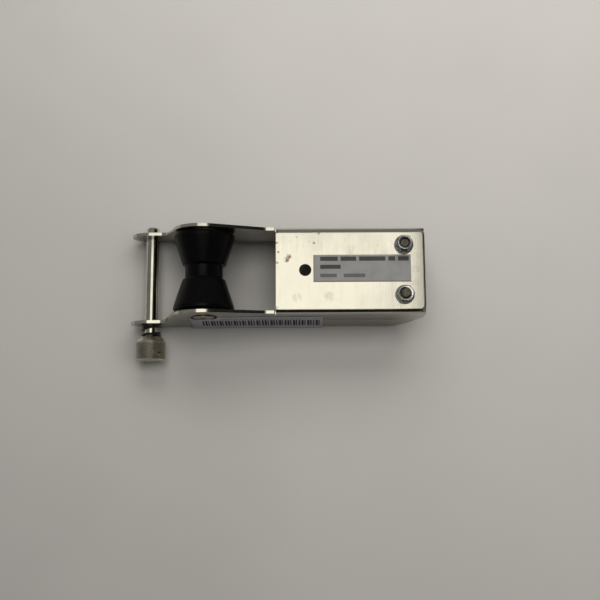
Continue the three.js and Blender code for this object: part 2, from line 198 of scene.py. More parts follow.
class Finish:
    """A material under construction, with short calls for its nodes."""

    def __init__(self, name, colour, roughness, metallic=0.0):
        self.material = bpy.data.materials.new(name)
        self.material.use_nodes = True
        self.tree = self.material.node_tree
        self.shader = self.tree.nodes["Principled BSDF"]
        self.shader.inputs["Base Color"].default_value = (*colour, 1)
        self.shader.inputs["Roughness"].default_value = roughness
        self.shader.inputs["Metallic"].default_value = metallic
        self.place = self.tree.nodes.new("ShaderNodeTexCoord").outputs["Object"]

    def node(self, kind, **settings):
        made = self.tree.nodes.new(kind)
        for key, value in settings.items():
            setattr(made, key, value)
        return made

    def feed(self, socket, value):
        if isinstance(value, bpy.types.NodeSocket):
            self.tree.links.new(value, socket)
        else:
            socket.default_value = value

    def stretched(self, scale, offset=(0, 0, 0)):
        mapping = self.node("ShaderNodeMapping")
        self.feed(mapping.inputs["Vector"], self.place)
        mapping.inputs["Scale"].default_value = scale
        mapping.inputs["Location"].default_value = offset
        return mapping.outputs["Vector"]

    def noise(self, scale, detail=4.0, roughness=0.55, stretch=(1, 1, 1), offset=(0, 0, 0)):
        made = self.node("ShaderNodeTexNoise")
        self.feed(made.inputs["Vector"], self.stretched(stretch, offset))
        made.inputs["Scale"].default_value = scale
        made.inputs["Detail"].default_value = detail
        made.inputs["Roughness"].default_value = roughness
        return made.outputs["Fac"]

    def remap(self, value, low, high, new_low, new_high):
        made = self.node("ShaderNodeMapRange", interpolation_type="SMOOTHSTEP")
        self.feed(made.inputs["Value"], value)
        made.inputs["From Min"].default_value = low
        made.inputs["From Max"].default_value = high
        made.inputs["To Min"].default_value = new_low
        made.inputs["To Max"].default_value = new_high
        return made.outputs["Result"]

    def sum(self, first, second, operation="ADD"):
        made = self.node("ShaderNodeMath", operation=operation)
        self.feed(made.inputs[0], first)
        self.feed(made.inputs[1], second)
        return made.outputs["Value"]

    def spot(self, place, radius, soft):
        """1 inside a round spot about a place, falling to 0 at its soft edge."""
        distance = self.node("ShaderNodeVectorMath", operation="DISTANCE")
        self.feed(distance.inputs[0], self.place)
        distance.inputs[1].default_value = place
        return self.remap(distance.outputs["Value"], radius, radius + soft, 1.0, 0.0)

    def axis(self, letter):
        split = self.node("ShaderNodeSeparateXYZ")
        self.feed(split.inputs["Vector"], self.place)
        return split.outputs[letter]

    # The finishes use this mask to paint upright faces darker, as shade.
    def facing(self, low, high):
        """0 on upright faces, 1 on faces that look up, in the piece's own frame."""
        split = self.node("ShaderNodeSeparateXYZ")
        self.feed(split.inputs["Vector"], self.node("ShaderNodeTexCoord").outputs["Normal"])
        return self.remap(split.outputs["Z"], low, high, 0.0, 1.0)

    def remap_line(self, value, low, high):
        made = self.node("ShaderNodeMapRange")
        self.feed(made.inputs["Value"], value)
        made.inputs["From Min"].default_value = low
        made.inputs["From Max"].default_value = high
        return made.outputs["Result"]

    def between(self, value, low, high):
        """1 where the value is between two limits, else 0."""
        above = self.sum(value, low, "GREATER_THAN")
        below = self.sum(value, high, "LESS_THAN")
        return self.sum(above, below, "MULTIPLY")

    def tint(self, factor, first, second):
        made = self.node("ShaderNodeMix", data_type="RGBA")
        self.feed(made.inputs["Factor"], factor)
        for socket, value in (("A", first), ("B", second)):
            target = [s for s in made.inputs if s.name == socket and s.type == "RGBA"][0]
            self.feed(target, value if isinstance(value, bpy.types.NodeSocket) else (*value, 1))
        return [s for s in made.outputs if s.type == "RGBA"][0]

    def colour(self, value):
        self.feed(self.shader.inputs["Base Color"], value)

    def rough(self, value):
        self.feed(self.shader.inputs["Roughness"], value)

    def bump(self, height, strength, distance):
        made = self.node("ShaderNodeBump")
        self.feed(made.inputs["Height"], height)
        made.inputs["Strength"].default_value = strength
        made.inputs["Distance"].default_value = distance
        self.feed(self.shader.inputs["Normal"], made.outputs["Normal"])


def steel(name, colour, roughness, grain, grain_scale=900, dirt=(0.16, 0.13, 0.09), dirt_share=0.15,
          metallic=1.0):
    """Worn stainless: grain runs where its stretch is small, with stains and rubbed patches."""
    made = Finish(name, colour, roughness, metallic=metallic)
    lines = made.noise(grain_scale, 3.0, 0.6, stretch=grain)
    patches = made.noise(60, 5.0, 0.6)
    stains = made.remap(made.noise(140, 6.0, 0.7, offset=(3, 1, 2)), 0.58, 0.8, 0.0, dirt_share)
    darker = tuple(c * 0.82 for c in colour)
    base = made.tint(made.remap(patches, 0.3, 0.7, 0.0, 1.0), colour, darker)
    made.colour(made.tint(stains, base, dirt))
    streaks = made.remap(lines, 0.3, 0.7, roughness * 0.8, roughness * 1.25)
    rubbed = made.remap(patches, 0.35, 0.75, -0.04, 0.07)
    made.rough(made.sum(streaks, rubbed))
    made.bump(lines, 0.12, 0.00003)
    return made.material


# ---------- materials ----------

ALL_ROUND = (1, 1, 1)
GRAIN_ACROSS = (1, 0.03, 0.03)
GRAIN_Y = (1, 0.02, 1)


def channel_finish():
    """Polished sheet with a faint grain across its length, rubbed stains and rust specks. Its upright faces
    take darker colours than the plate: painted shade, with a random mottle and the stains on it.
    """
    made = Finish("channel_steel", (0.8, 0.78, 0.69), 0.15, metallic=1.0)
    grain = made.noise(1300, 3.0, 0.6, stretch=GRAIN_ACROSS)
    scuffs = made.noise(420, 4.0, 0.65, stretch=(1, 0.5, 1), offset=(1, 4, 2))
    patches = made.noise(34, 5.0, 0.62, stretch=(1, 0.6, 1), offset=(5, 0, 3))
    stains = made.remap(made.noise(85, 6.0, 0.72, offset=(2, 7, 1)), 0.56, 0.8, 0.0, 0.22)
    bright, dull = (0.81, 0.785, 0.69), (0.76, 0.735, 0.64)
    grain_dark = (0.72, 0.7, 0.6)
    stain_brown, speck_brown, rust = (0.56, 0.44, 0.27), (0.2, 0.13, 0.07), (0.17, 0.11, 0.05)
    # The colours for upright faces are painted shade: darker copies of the steel for the cheeks and ears.
    shaded_side_light, shaded_side_dark, shaded_side_stain = (0.48, 0.465, 0.41), (0.41, 0.395, 0.34), (0.34, 0.28, 0.19)
    base = made.tint(made.remap(patches, 0.35, 0.7, 0.0, 1.0), bright, dull)
    base = made.tint(made.remap(grain, 0.35, 0.75, 0.0, 0.16), base, grain_dark)
    base = made.tint(stains, base, stain_brown)
    specks = made.remap(made.noise(620, 2.0, 0.5, offset=(9, 2, 4)), 0.74, 0.8, 0.0, 0.5)
    base = made.tint(specks, base, speck_brown)
    for x, y, radius, share in WEAR_SPOTS:
        place = Vector((AXLE.x + x * MM, y * MM, 0))
        shape = made.spot(place, radius * 0.6 * MM, radius * 0.7 * MM)
        ragged = made.remap(scuffs, 0.35, 0.62, 0.1, 1.0)
        broken = made.sum(made.sum(shape, share, "MULTIPLY"), ragged, "MULTIPLY")
        base = made.tint(broken, base, rust)
    mottle = made.noise(160, 4.0, 0.6, stretch=(0.25, 1, 1), offset=(6, 6, 1))
    upright = made.tint(made.remap(mottle, 0.3, 0.7, 0.0, 1.0), shaded_side_light, shaded_side_dark)
    upright = made.tint(stains, upright, shaded_side_stain)
    # Painted shade: faces that look up take the plate's colours, upright faces the darker shaded ones.
    top = made.facing(0.35, 0.9)
    made.colour(made.tint(top, upright, base))
    streaks = made.remap(grain, 0.3, 0.7, 0.11, 0.15)
    rubbed = made.remap(patches, 0.35, 0.75, -0.02, 0.04)
    polished = made.sum(made.sum(streaks, rubbed), made.remap(scuffs, 0.6, 0.75, 0.0, 0.1))
    made.rough(made.sum(polished, made.remap(top, 0.0, 1.0, 0.07, 0.0)))
    waves = made.noise(30, 2.0, 0.5, offset=(4, 4, 0))
    made.bump(made.sum(made.sum(grain, 0.04, "MULTIPLY"), waves), 0.12, 0.00012)
    return made.material


def rubber_finish():
    """Hard black rubber: half gloss, with a fine grain and grey scuffs."""
    made = Finish("roller_rubber", (0.002, 0.002, 0.0022), 0.34)
    grain = made.noise(1400, 4.0, 0.6)
    scuffs = made.noise(160, 6.0, 0.7, stretch=(1, 0.25, 1))
    dust = made.remap(scuffs, 0.55, 0.85, 0.0, 0.3)
    made.colour(made.tint(dust, (0.0018, 0.0018, 0.002), (0.014, 0.015, 0.015)))
    made.rough(made.remap(scuffs, 0.35, 0.75, 0.26, 0.42))
    made.bump(grain, 0.2, 0.00005)
    made.shader.inputs["Specular IOR Level"].default_value = 0.12
    return made.material


def nylon_finish(name, colour, roughness):
    made = Finish(name, colour, roughness)
    mottle = made.noise(300, 4.0, 0.6)
    darker = tuple(c * 0.8 for c in colour)
    made.colour(made.tint(made.remap(mottle, 0.35, 0.7, 0.0, 1.0), colour, darker))
    made.rough(made.remap(mottle, 0.3, 0.7, roughness - 0.06, roughness + 0.08))
    made.bump(made.noise(2500, 3.0), 0.1, 0.00002)
    made.shader.inputs["Subsurface Weight"].default_value = 0.08
    return made.material


def paper_finish(name, paper, low, high, marks):
    """A matt label. Marks are printed boxes as (low x, low v, high x, high v, ink share),
    where v is measured across the label, from its low edge to its high edge, 0 to 1."""
    made = Finish(name, paper, 0.62)
    fibre = made.noise(2600, 4.0, 0.65)
    blotch = made.noise(120, 3.0, 0.5)
    darker = tuple(c * 0.86 for c in paper)
    base = made.tint(made.remap(blotch, 0.3, 0.75, 0.0, 1.0), paper, darker)
    along = made.remap_line(made.axis("X"), low.x, high.x)
    letter = "Y" if high.y - low.y > high.z - low.z else "Z"
    first, last = (low.y, high.y) if letter == "Y" else (low.z, high.z)
    across = made.remap_line(made.axis(letter), first, last)
    for x0, v0, x1, v1, share in marks:
        inside = made.sum(made.between(along, x0, x1), made.between(across, v0, v1), "MULTIPLY")
        base = made.tint(made.sum(inside, share, "MULTIPLY"), base, (0.012, 0.012, 0.012))
    made.colour(base)
    made.rough(made.remap(fibre, 0.3, 0.7, 0.52, 0.7))
    made.bump(fibre, 0.15, 0.00003)
    return made.material


def knurl_finish():
    """Knob steel: mottled, and darkened in the knurls' valleys."""
    made = Finish("knob_steel", (0.42, 0.4, 0.35), 0.3, metallic=1.0)
    mottle = made.noise(210, 5.0, 0.65)
    base = made.tint(made.remap(mottle, 0.3, 0.72, 0.0, 1.0), (0.8, 0.76, 0.64), (0.56, 0.52, 0.42))
    low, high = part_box("pin_knob")
    radius = (high.z - low.z) / 2
    sideways = made.sum(made.axis("X"), PIN.x, "SUBTRACT")
    upwards = made.sum(made.axis("Z"), PIN.z, "SUBTRACT")
    square = made.sum(made.sum(sideways, sideways, "MULTIPLY"), made.sum(upwards, upwards, "MULTIPLY"))
    depth = made.sum(radius, made.sum(square, 0.5, "POWER"), "SUBTRACT")
    along = made.axis("Y")
    band = made.between(along, low.y + 0.4 * MM, high.y - 3.6 * MM)
    valley = made.sum(made.remap(depth, 0.04 * MM, 0.3 * MM, 0.0, 0.95), band, "MULTIPLY")
    made.colour(made.tint(valley, base, (0.035, 0.03, 0.022)))
    made.rough(made.remap(mottle, 0.3, 0.7, 0.24, 0.4))
    made.bump(made.noise(3000, 3.0), 0.1, 0.00003)
    return made.material


def fastener_finish(name, colour, roughness):
    """Zinc-grey steel with a speckle. Its upright faces are painted much darker than its upward faces, as
    shade.
    """
    made = Finish(name, colour, roughness, metallic=1.0)
    speckle = made.remap(made.noise(900, 4.0, 0.65), 0.38, 0.66, 0.0, 1.0)
    top = made.tint(speckle, colour, tuple(c * 0.75 for c in colour))
    # Painted shade: the upright faces get these near-black colours.
    upright = made.tint(speckle, (0.2, 0.21, 0.2), (0.07, 0.07, 0.065))
    made.colour(made.tint(made.facing(0.25, 0.8), upright, top))
    made.rough(made.remap(speckle, 0.0, 1.0, roughness - 0.06, roughness + 0.1))
    return made.material


# Stains and rust on the deck plate, listed one by one: X from the axle, Y, radius in mm, and
# how strong.
WEAR_SPOTS = [
    (54.3, 7.0, 1.9, 1.0), (56.1, 9.2, 1.7, 1.0), (72.3, 18.0, 0.8, 0.9), (75.5, 24.3, 0.8, 0.9),
    (69.5, 19.0, 0.5, 0.7), (61.0, 22.0, 0.5, 0.6), (65.5, 16.0, 0.4, 0.6), (57.0, 19.5, 0.4, 0.5),
    (48.2, 18.0, 0.9, 0.9), (49.0, 12.0, 0.8, 0.8), (48.4, 5.0, 0.9, 0.9), (48.0, -25.0, 1.2, 0.9),
    (48.0, 25.6, 1.2, 0.8), (61.3, -18.0, 3.2, 0.2), (82.0, -17.4, 3.4, 0.22), (96.0, 12.9, 3.5, 0.12),
    (138.0, 9.0, 2.6, 0.1), (138.0, 0.0, 2.6, 0.12), (138.0, -9.0, 2.6, 0.1), (129.0, -23.0, 2.0, 0.15),
]

STEEL = channel_finish()
RUBBER = rubber_finish()
BUSH_NYLON = nylon_finish("bush_nylon", (0.72, 0.69, 0.6), 0.45)
INSERT_NYLON = nylon_finish("insert_nylon", (0.05, 0.06, 0.08), 0.5)
AXLE_STEEL = steel("axle_steel", (0.3, 0.28, 0.24), 0.34, ALL_ROUND)
PIN_STEEL = steel("pin_steel", (0.78, 0.75, 0.66), 0.11, GRAIN_Y, grain_scale=1800, dirt_share=0.1)
KNOB_STEEL = knurl_finish()
ROLL_PIN_STEEL = steel("roll_pin_steel", (0.42, 0.29, 0.17), 0.5, ALL_ROUND, dirt=(0.3, 0.16, 0.07),
                       metallic=0.25)
SPRING_STEEL = steel("spring_steel", (0.09, 0.085, 0.07), 0.32, ALL_ROUND)
NUT_STEEL = fastener_finish("fastener_steel", (0.88, 0.9, 0.88), 0.2)
# The washers' dark colour is painted shade around the nuts' base.
SHADED_WASHER_STEEL = fastener_finish("washer_steel", (0.3, 0.31, 0.3), 0.36)
BOLT_STEEL = fastener_finish("bolt_steel", (0.26, 0.23, 0.17), 0.45)


# ---------- the folded channel ----------

# Sizes are in mm. X is measured from the roller's axle, Z and heights from the floor, and
# S across the flat blank: from the rim of one cheek, over the plate, to the other rim.
SHEET = 2.0
BEND_RADIUS = 3.5
DECK_HEIGHT = 43.5
DECK_HALF_WIDTH = 28.5
RIM_HALF_WIDTH = 31.2
CREASE_HEIGHT = 12.0
CREASE_SOFTNESS = 2.2
ARM_HALF_WIDTH = 29.0
ARM_RADIUS = 20.5
ARM_SHOULDER_X = 41.0
EAR_HALF_WIDTH = 31.1
EAR_HEIGHT = 20.5
EAR_ROOT_X = -26.5
THROAT_RADIUS = 5.0
HEEL_RADIUS = 25.0
JOGGLE = (-19.0, -30.0)
DECK_FRONT_X = 47.5
RELIEF = 0.6
CORNER_DIP = 0.5
EDGE_ROLL = 1.3
ROLL_CORNER = 4.5
SHOULDER_RADIUS = 14.0
AXLE_HEIGHT = (AXLE.z - FLOOR_Z) / MM
PIN_HEIGHT = (PIN.z - FLOOR_Z) / MM
PIN_X = (PIN.x - AXLE.x) / MM
FRONT_END_X = (FRAME_LOW.x - AXLE.x) / MM
REAR_END_X = (FRAME_HIGH.x - AXLE.x) / MM
BOLT_X = (middle("deck_bolt_north").x - AXLE.x) / MM
BOLT_Y = middle("deck_bolt_north").y / MM
FRONT_HOLE_X = 66.6
FRONT_HOLE_RADIUS = 4.0
REAR_HOLE_RADIUS = 3.4
AXLE_HOLE_RADIUS = 5.4
PIN_HOLE_RADIUS = 5.0
FOLD_Z = DECK_HEIGHT - BEND_RADIUS
BEND_LENGTH = BEND_RADIUS * math.pi / 2
MID_S = FOLD_Z + BEND_LENGTH + DECK_HALF_WIDTH - BEND_RADIUS


def smooth_step(start, end, value):
    t = min(1.0, max(0.0, (value - start) / (end - start)))
    return t * t * (3 - 2 * t)


def cheek_half_width(x):
    splay = (ARM_HALF_WIDTH - DECK_HALF_WIDTH) / ARM_SHOULDER_X
    straight = DECK_HALF_WIDTH + splay * max(0.0, ARM_SHOULDER_X - x)
    step = smooth_step(*JOGGLE, x)
    return straight + (EAR_HALF_WIDTH - straight) * step


def flare(z):
    """How far out the cheek leans at a height, 0 above the crease and 1 at the rim."""
    below = CREASE_HEIGHT - z
    if below >= CREASE_SOFTNESS:
        return below / CREASE_HEIGHT
    if below <= -CREASE_SOFTNESS:
        return 0.0
    return (below + CREASE_SOFTNESS) ** 2 / (4 * CREASE_SOFTNESS) / CREASE_HEIGHT


def outer_half_width(x, z):
    width = cheek_half_width(x)
    return width + (RIM_HALF_WIDTH - width) * flare(z)


def folded(x, s):
    """Where a point of the flat blank goes. S runs from one rim over the plate to the other."""
    side = -1 if s <= MID_S else 1
    height = s if s <= MID_S else 2 * MID_S - s
    if x < DECK_FRONT_X - RELIEF / 2 or height <= FOLD_Z:
        y, z = outer_half_width(x, height), height
    elif height <= FOLD_Z + BEND_LENGTH:
        angle = (height - FOLD_Z) / BEND_RADIUS
        y = DECK_HALF_WIDTH - BEND_RADIUS * (1 - math.cos(angle))
        z = FOLD_Z + BEND_RADIUS * math.sin(angle)
    else:
        y, z = MID_S - height, DECK_HEIGHT
    return Vector((AXLE.x + x * MM, side * y * MM, FLOOR_Z + z * MM))


def skin_normal(s):
    """The way the outer skin faces at a place across the blank, on the plate and its bends."""
    side = -1 if s <= MID_S else 1
    height = s if s <= MID_S else 2 * MID_S - s
    angle = min(1.0, max(0.0, (height - FOLD_Z) / BEND_LENGTH)) * math.pi / 2
    return Vector((0, side * math.cos(angle), math.sin(angle)))


def arc(centre, radius, start, end, steps):
    """Points on an arc, from the start angle to the end angle in degrees."""
    points = []
    for step in range(steps + 1):
        angle = math.radians(start + (end - start) * step / steps)
        x = centre[0] + radius * math.cos(angle)
        points.append((x, centre[1] + radius * math.sin(angle)))
    return points


def touch_angle(point, centre, radius, side):
    """The angle, in degrees, at which a line from a point touches a circle."""
    away = Vector(point) - Vector(centre)
    turn = math.acos(radius / away.length)
    return math.degrees(math.atan2(away.y, away.x) + side * turn)


def half_blank():
    """The outline of half the flat blank in X and S, from the rear's middle to the front's."""
    axle = (0.0, AXLE_HEIGHT)
    back = touch_angle((ARM_SHOULDER_X, DECK_HEIGHT), axle, ARM_RADIUS, 1)
    front = touch_angle((EAR_ROOT_X, EAR_HEIGHT), axle, ARM_RADIUS, -1) % 360
    slit = DECK_FRONT_X - RELIEF
    fold_top = FOLD_Z + BEND_LENGTH + 3
    fold_bottom = FOLD_Z - 3
    throat = [Vector((EAR_ROOT_X + 1.2, EAR_HEIGHT + THROAT_RADIUS)),
              Vector((EAR_ROOT_X, EAR_HEIGHT)),
              Vector((EAR_ROOT_X - THROAT_RADIUS, EAR_HEIGHT))]
    outline = [(REAR_END_X, MID_S)]
    for step in range(11):
        t = step / 10
        dip = CORNER_DIP * (1 - math.cos(2 * math.pi * t)) / 2
        outline.append((REAR_END_X - dip, fold_top + (fold_bottom - fold_top) * t))
    outline += arc((REAR_END_X - HEEL_RADIUS, HEEL_RADIUS), HEEL_RADIUS, 0, -90, 24)
    for step in range(33):
        angle = math.radians(270 - 180 * step / 32)
        x = PIN_X + (PIN_X - FRONT_END_X) * math.cos(angle)
        outline.append((x, EAR_HEIGHT / 2 * (1 + math.sin(angle))))
    for step in range(9):
        t = step / 8
        low = throat[2].lerp(throat[1], t)
        outline.append(tuple(low.lerp(throat[1].lerp(throat[0], t), t)))
    outline += arc(axle, ARM_RADIUS, front, back, 40)
    reach = SHOULDER_RADIUS * math.tan(math.radians(90 - back) / 2)
    above = (ARM_SHOULDER_X + reach, DECK_HEIGHT + SHOULDER_RADIUS)
    outline += arc(above, SHOULDER_RADIUS, 180 + back, 270, 6)
    outline += [(slit - 0.5, DECK_HEIGHT), (slit, DECK_HEIGHT - 0.6), (slit, FOLD_Z - 1.0)]
    outline += [(DECK_FRONT_X, FOLD_Z - 1.0), (DECK_FRONT_X, MID_S)]
    return outline


def filled(outlines):
    """A flat mesh inside the first outline, with the others as holes."""
    curve = bpy.data.curves.new("blank", "CURVE")
    curve.dimensions = "2D"
    curve.fill_mode = "BOTH"
    for outline in outlines:
        spline = curve.splines.new("POLY")
        spline.points.add(len(outline) - 1)
        for point, place in zip(spline.points, outline):
            point.co = (*place, 0, 1)
        spline.use_cyclic_u = True
    carrier = bpy.data.objects.new("blank", curve)
    bpy.context.scene.collection.objects.link(carrier)
    evaluated = carrier.evaluated_get(bpy.context.evaluated_depsgraph_get())
    mesh = bpy.data.meshes.new_from_object(evaluated)
    bpy.data.objects.remove(carrier)
    bpy.data.curves.remove(curve)
    return mesh


def circle(centre, radius):
    """The 48 points of a round hole, without repeating the first."""
    return arc(centre, radius, 0, 352.5, 47)


def blank_holes():
    """The round holes in the flat blank, in X and S."""
    holes = [circle((FRONT_HOLE_X, MID_S), FRONT_HOLE_RADIUS)]
    for side in (-1, 1):
        holes.append(circle((BOLT_X, MID_S + side * BOLT_Y), REAR_HOLE_RADIUS))
        cheek_holes = ((0.0, AXLE_HEIGHT, AXLE_HOLE_RADIUS), (PIN_X, PIN_HEIGHT, PIN_HOLE_RADIUS))
        for x, height, radius in cheek_holes:
            s = height if side < 0 else 2 * MID_S - height
            holes.append(circle((x, s), radius))
    return holes


def cut_lines():
    """Where the blank is cut into strips, so that it can bend: X stations and S stations."""
    across = [JOGGLE[1] + step for step in range(-1, int(JOGGLE[0] - JOGGLE[1]) + 2)]
    across += [ARM_SHOULDER_X, DECK_FRONT_X - RELIEF, DECK_FRONT_X]
    across += [REAR_END_X - inset for inset in (0.15, 0.4, 0.7, 1.0, 1.4, 2.0, 2.8, 3.6, 4.6)]
    heights = [CREASE_HEIGHT + CREASE_SOFTNESS * step / 4 for step in range(-4, 5)]
    heights += [FOLD_Z + BEND_LENGTH * step / 10 for step in range(11)]
    heights += [FOLD_Z - 0.6] + [FOLD_Z + BEND_LENGTH + step * 0.5 for step in range(1, 7)]
    return across, heights + [2 * MID_S - height for height in heights]


def rolled_depth(x, s):
    """How far polishing has rounded the skin inwards near the plate's rear edge and corners."""
    height = s if s <= MID_S else 2 * MID_S - s
    middle_of_bend = FOLD_Z + BEND_LENGTH / 2
    if height < FOLD_Z or x < REAR_END_X - ROLL_CORNER:
        return 0.0
    from_end = REAR_END_X - x
    above_bend = height - middle_of_bend
    corner = math.hypot(max(0.0, ROLL_CORNER - from_end), max(0.0, ROLL_CORNER - above_bend))
    inside = min(from_end, ROLL_CORNER - corner) if height > middle_of_bend else from_end
    missing = min(EDGE_ROLL, max(0.0, EDGE_ROLL - inside))
    fade = smooth_step(FOLD_Z, middle_of_bend, height)
    return fade * (EDGE_ROLL - math.sqrt(EDGE_ROLL ** 2 - missing ** 2))


def channel_mesh():
    half = half_blank()
    other_half = [(x, 2 * MID_S - s) for x, s in reversed(half)]
    mesh = filled([half + other_half[1:-1]] + blank_holes())
    work = bmesh.new()
    work.from_mesh(mesh)
    bmesh.ops.remove_doubles(work, verts=work.verts, dist=1e-5)
    across, along = cut_lines()
    for axis, places in (((1, 0, 0), across), ((0, 1, 0), along)):
        for place in places:
            everything = work.verts[:] + work.edges[:] + work.faces[:]
            point = tuple(place * value for value in axis)
            bmesh.ops.bisect_plane(work, geom=everything, dist=1e-5, plane_co=point, plane_no=axis)
    for vertex in work.verts:
        x, s = vertex.co.x, vertex.co.y
        inward = skin_normal(s) * -rolled_depth(x, s) * MM
        vertex.co = folded(x, s) + inward
    work.normal_update()
    deck = [face for face in work.faces if abs(face.normal.z) > 0.99]
    if sum(face.normal.z * face.calc_area() for face in deck) < 0:
        bmesh.ops.reverse_faces(work, faces=work.faces)
    work.to_mesh(mesh)
    work.free()
    return mesh


def kept_inside(piece, node):
    """Moves points that the sheet's thickness pushed out back onto the frame's box."""
    low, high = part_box(node)
    for vertex in piece.data.vertices:
        vertex.co = [max(a, min(b, c)) for a, b, c in zip(low, high, vertex.co)]
    return piece


def make_channel():
    piece = new_piece("channel_sheet", channel_mesh(), "frame", STEEL,
                      ("channel_frame",), sharp=40)
    thickened(piece, SHEET * MM).use_even_offset = True
    edge = piece.modifiers.new("edge", "BEVEL")
    edge.width = 0.3 * MM
    edge.segments = 2
    edge.limit_method = "ANGLE"
    edge.angle_limit = math.radians(50)
    even = piece.modifiers.new("even", "WEIGHTED_NORMAL")
    even.keep_sharp = True
    return kept_inside(applied(piece), "channel_frame")


# ---------- roller and axle ----------


def make_roller():
    groove, waist, rim, end = 12.5, 14.2, 20.0, 25.7
    bore = 7.05
    half = [(groove, 4.1), (groove + 0.6, 4.7), (waist - 0.35, 4.7), (waist, 5.1),
            (rim - 0.15, 22.4), (rim, 23.0), (rim, end - 0.9), (rim - 0.9, end),
            (16.5, end), (16.0, end - 0.4), (10.6, end - 0.4), (10.1, end), (bore, end)]
    outline = [(r, -z) for r, z in reversed(half)] + half
    smooth = rounded(outline, 0.5)
    mesh = turned_mesh("roller_casting", smooth + [smooth[0]], steps=144)
    return new_piece("roller_casting", along_y(mesh, AXLE), "roller", RUBBER,
                     ("roller_body",))


def make_axle_head(name, side, node):
    """A low domed head with a hexagon socket, and the part of the axle behind it."""
    seat, crown, radius = 29.35, 30.35, 7.2
    socket_limit = 2.6
    outline = [(0, crown - 1.6), (2.1, crown - 1.6), (2.45, crown), (3.4, crown - 0.03),
               (5.2, crown - 0.15), (6.3, crown - 0.35), (radius - 0.2, crown - 0.6),
               (radius, seat + 0.25), (radius, seat)]
    bolt = [(2.9, seat), (2.9, -10.0), (0, -10.0)]
    sleeve = [(5.0, seat), (5.0, -28.95), (3.1, -28.95), (3.1, 14), (0, 14)]

    def hexagon(r, z, angle):
        if r > socket_limit or r == 0:
            return r
        sector = (angle + math.pi / 6) % (math.pi / 3) - math.pi / 6
        return r * math.cos(math.pi / 6) / math.cos(sector) * 1.08

    mesh = turned_mesh(name, outline + (bolt if side < 0 else sleeve), steps=96, warp=hexagon)
    along_y(mesh, AXLE, flip=side < 0)
    return new_piece(name, mesh, "frame", AXLE_STEEL, (node,))


# ---------- retaining pin ----------

PIN_RADIUS = 4.6
KNOB_LOW, KNOB_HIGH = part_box("pin_knob")
KNOB_RADIUS = (KNOB_HIGH.z - KNOB_LOW.z) / 2 / MM
KNOB_START = KNOB_HIGH.y / MM
KNOB_END = KNOB_LOW.y / MM
ROLL_PIN = middle("knob_roll_pin")
ROLL_PIN_TURN = math.radians(44)
ROLL_PIN_RADIUS = 1.9


def make_pin():
    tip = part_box("retaining_pin")[1].y / MM
    blind_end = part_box("retaining_pin")[0].y / MM
    outline = [(0, blind_end), (PIN_RADIUS, blind_end), (PIN_RADIUS, tip - 1.5),
               (PIN_RADIUS - 0.25, tip - 0.9), (PIN_RADIUS - 1.3, tip), (0, tip)]
    mesh = turned_mesh("retaining_bar", rounded(outline, 0.35), steps=96)
    place = Vector((PIN.x, 0, PIN.z))
    return new_piece("retaining_bar", along_y(mesh, place), "pin", PIN_STEEL,
                     ("retaining_pin",), sharp=40)


def knurl_depth(angle, z, starts=40, lead=1.0, depth=0.5):
    """How deep crossed knurling is at a place on the knob: two sets of helical grooves."""
    twist = 2 * math.pi * z / (2 * math.pi * KNOB_RADIUS / starts * lead)
    first = abs(math.sin((starts * angle + twist) / 2))
    second = abs(math.sin((starts * angle - twist) / 2))
    return depth * (1 - min(1.0, 1.9 * min(first, second)))


def make_knob():
    shoulder_radius = 7.3
    cone_end = KNOB_START - 3.4
    knurl_high = cone_end - 0.7
    knurl_low = KNOB_END + 0.5
    rows = 60
    socket = PIN_RADIUS + 0.1
    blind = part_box("retaining_pin")[0].y / MM - 0.4
    outer = rounded([(0, KNOB_END + 0.35), (5.5, KNOB_END + 0.35), (6.0, KNOB_END),
                     (KNOB_RADIUS - 0.4, KNOB_END), (KNOB_RADIUS, KNOB_END + 0.4)], 0.2)
    for row in range(rows + 1):
        outer.append((KNOB_RADIUS, knurl_low + (knurl_high - knurl_low) * row / rows))
    outer += rounded([(KNOB_RADIUS, knurl_high + 0.2), (KNOB_RADIUS - 0.15, cone_end + 0.1),
                      (shoulder_radius + 0.2, KNOB_START - 0.3), (shoulder_radius - 0.4, KNOB_START),
                      (socket + 0.4, KNOB_START), (socket, KNOB_START - 0.4)], 0.3)
    outer += [(socket, blind), (0, blind)]

    def knurled(radius, z, angle):
        if radius < KNOB_RADIUS - 1e-6 or not knurl_low < z < knurl_high:
            return radius
        fade = min(1.0, (z - knurl_low) / 0.4, (knurl_high - z) / 0.4)
        pin_gap = roll_pin_distance(radius, z, angle)
        clear = min(1.0, max(0.0, pin_gap - ROLL_PIN_RADIUS) / 0.3)
        return radius - knurl_depth(angle, z) * fade * clear

    mesh = turned_mesh("knurled_knob", outer, steps=440, warp=knurled)
    mesh.transform(Matrix.Translation((PIN.x, 0, PIN.z)) @ Matrix.Rotation(-math.pi / 2, 4, "X"))
    knob = new_piece("knurled_knob", mesh, "pin", KNOB_STEEL, ("pin_knob",), sharp=50)
    drill = cylinder_mesh("drill", (ROLL_PIN_RADIUS + 0.12) * MM, 30 * MM, 48)
    cutter = bpy.data.objects.new("drill", drill)
    bpy.context.scene.collection.objects.link(cutter)
    cutter.matrix_world = Matrix.Translation(ROLL_PIN) @ Matrix.Rotation(ROLL_PIN_TURN, 4, "Y")
    cut = knob.modifiers.new("cross_hole", "BOOLEAN")
    cut.object = cutter
    cut.operation = "DIFFERENCE"
    applied(knob)
    bpy.data.objects.remove(cutter)
    return knob


def roll_pin_distance(radius, z, angle):
    """How far a point of the knob's surface is from the roll pin's axis, in mm."""
    across = Vector((math.cos(angle) * radius, math.sin(angle) * radius))
    pin_line = Vector((math.sin(ROLL_PIN_TURN), -math.cos(ROLL_PIN_TURN)))
    sideways = across.x * pin_line.y - across.y * pin_line.x
    return math.hypot(sideways, z - ROLL_PIN.y / MM)


